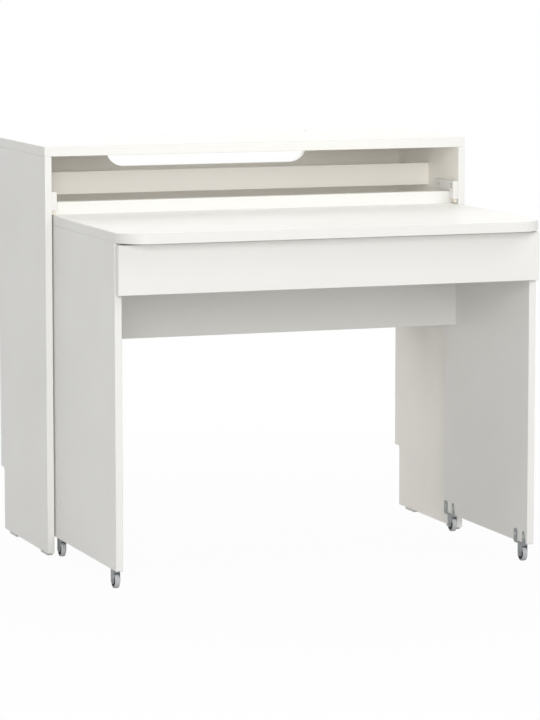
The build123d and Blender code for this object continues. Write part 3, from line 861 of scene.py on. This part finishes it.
class DESK_OT_fittings(bpy.types.Operator):
    """Finishes brackets, glides, pads, runners, screws, cams, bolts and dowels"""

    bl_idname = "desk.fittings"
    bl_label = "Fittings"

    def execute(self, context):
        finish = context.scene.fitting_finish
        bracket = moulded_plastic(
            "moulded_abs_bracket", finish.bracket, rough=0.42, grain_mm=0.9, depth_mm=0.05
        )
        dress(["stop_bracket_left", "stop_bracket_right"], bracket)
        glide = moulded_plastic(
            "moulded_pe_glide", finish.glide, rough=0.5, grain_mm=0.9, depth_mm=0.06
        )
        dress(["console_glides"], glide)
        runner = moulded_plastic(
            "moulded_pom_runner", finish.runner, rough=0.35, grain_mm=0.8, depth_mm=0.04
        )
        dress(["runner_left", "runner_right"], runner)
        foot = moulded_plastic(
            "moulded_pe_foot", finish.foot, rough=0.45, grain_mm=0.8, depth_mm=0.04
        )
        dress(["bracket_feet"], foot)
        pad = moulded_plastic(
            "moulded_nbr_pad", finish.pad, rough=0.75, grain_mm=1.2, depth_mm=0.1, mottled=0.15
        )
        dress(["stop_bumpers"], pad)
        dot = moulded_plastic(
            "cast_pu_dot", finish.dot, rough=0.2, grain_mm=3.0, depth_mm=0.02
        )
        dress(["drawer_bumpers"], dot)
        screw = zinc_plated_steel("zinc_plated_screw", finish.screw, rough=0.35, spangle=0.0012)
        dress(SCREWS, screw)
        cam = zinc_plated_steel("cast_zinc_cam", finish.cam, rough=0.5, spangle=0.0016)
        dress(["console_cams", "desk_cams", "drawer_cams"], cam)
        dress(["console_dowels", "desk_dowels"], turned_beech())
        return {"FINISHED"}


class DESK_OT_casters(bpy.types.Operator):
    """Finishes the caster brackets and axles, and adds the lips bent down from each bridge"""

    bl_idname = "desk.casters"
    bl_label = "Caster brackets"

    def execute(self, context):
        finish = context.scene.caster_finish
        steel = zinc_plated_steel(
            "zinc_plated_pressed_steel", finish.steel, rough=0.42, spangle=finish.spangle
        )
        dress(["caster_bracket_" + corner for corner in CORNERS] + ["caster_axles"], steel)
        for corner in CORNERS:
            low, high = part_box("tyre_" + corner)
            near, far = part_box("caster_bracket_" + corner)
            left, right = near.x + finish.sheet, far.x - finish.sheet
            # the lips hang from the bridge, which lies under the desk's side
            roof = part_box("desk_side_" + corner.split("_")[1])[0].z - finish.sheet
            foot, turn = high.z + finish.lip_gap, finish.lip_corner
            outline = [(left, roof)]
            outline += arc((left + turn, foot + turn), turn, 180, 270, steps=5)
            outline += arc((right - turn, foot + turn), turn, 270, 360, steps=5)
            outline.append((right, roof))
            middle = (low.y + high.y) / 2
            bm = bmesh.new()
            for start in (middle - finish.fork / 2, middle + finish.fork / 2 - finish.sheet):
                add_plate(bm, outline, start, finish.sheet)
            bmesh.ops.recalc_face_normals(bm, faces=bm.faces)
            mesh = to_mesh(bm, "fork_lips_" + corner)
            new_piece("fork_lips_" + corner, mesh, steel, "desk", crisp=True)
        return {"FINISHED"}


class DESK_OT_wheels(bpy.types.Operator):
    """Builds the hubs with their ribs and the treads with rounded shoulders"""

    bl_idname = "desk.wheels"
    bl_label = "Wheels"

    def execute(self, context):
        finish = context.scene.caster_finish
        black = moulded_plastic(
            "moulded_pp_hub", finish.hub, rough=0.4, grain_mm=0.7, depth_mm=0.04, mottled=0.2
        )
        grey = moulded_plastic(
            "moulded_tpe_tread", finish.tread, rough=0.6, grain_mm=1.1, depth_mm=0.08, mottled=0.08
        )
        for corner in CORNERS:
            body = "wheel_" + corner
            low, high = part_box("tyre_" + corner)
            centre = (low + high) / 2
            half = (high.x - low.x) / 2
            outer = (high.z - low.z) / 2
            hub_low, hub_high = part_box("wheel_hub_" + corner)
            rim = (hub_high.z - hub_low.z) / 2
            tread = to_mesh(build_tread(finish, centre, half, outer, rim), "tread_" + corner)
            new_piece("tread_" + corner, tread, grey, body, ["tyre_" + corner])
            hub = to_mesh(build_hub(finish, centre, half, rim), "hub_" + corner)
            replaced = ["wheel_hub_" + corner]
            new_piece("hub_" + corner, hub, black, body, replaced, crisp=True)
        return {"FINISHED"}


class DESK_OT_stage(bpy.types.Operator):
    """Makes the white floor, the lamps, the even light and the camera"""

    bl_idname = "desk.stage"
    bl_label = "Stage"

    def execute(self, context):
        scene = context.scene
        lay_floor(scene.stage_settings)
        light_evenly(scene.stage_settings)
        hang_lamps(scene.stage_settings)
        stand_camera(scene.stage_settings)
        scene.view_settings.view_transform = "Standard"
        return {"FINISHED"}


class DESK_PT_panel(bpy.types.Panel):
    """Lists the desk's pieces and settings"""

    bl_idname = "DESK_PT_panel"
    bl_label = "Kids desk"
    bl_space_type = "VIEW_3D"
    bl_region_type = "UI"
    bl_category = "Desk"

    def draw(self, context):
        scene = context.scene
        groups = (
            (scene.board_finish, ("desk.boards",)),
            (scene.fitting_finish, ("desk.fittings",)),
            (scene.caster_finish, ("desk.casters", "desk.wheels")),
            (scene.stage_settings, ("desk.stage",)),
        )
        for settings, operators in groups:
            box = self.layout.box()
            for name in settings.__annotations__:
                box.prop(settings, name)
            for operator in operators:
                box.operator(operator)


CLASSES = (
    BoardFinish,
    CasterFinish,
    FittingFinish,
    StageSettings,
    DESK_OT_boards,
    DESK_OT_fittings,
    DESK_OT_casters,
    DESK_OT_wheels,
    DESK_OT_stage,
    DESK_PT_panel,
)
SETTINGS = {
    "board_finish": BoardFinish,
    "caster_finish": CasterFinish,
    "fitting_finish": FittingFinish,
    "stage_settings": StageSettings,
}


def register():
    for item in CLASSES:
        bpy.utils.register_class(item)
    for name, group in SETTINGS.items():
        setattr(bpy.types.Scene, name, bpy.props.PointerProperty(type=group))


def unregister():
    for name in SETTINGS:
        delattr(bpy.types.Scene, name)
    for item in reversed(CLASSES):
        bpy.utils.unregister_class(item)


def main():
    register()
    bpy.ops.desk.boards()
    bpy.ops.desk.fittings()
    bpy.ops.desk.casters()
    bpy.ops.desk.wheels()
    bpy.ops.desk.stage()


if __name__ == "__main__":
    main()
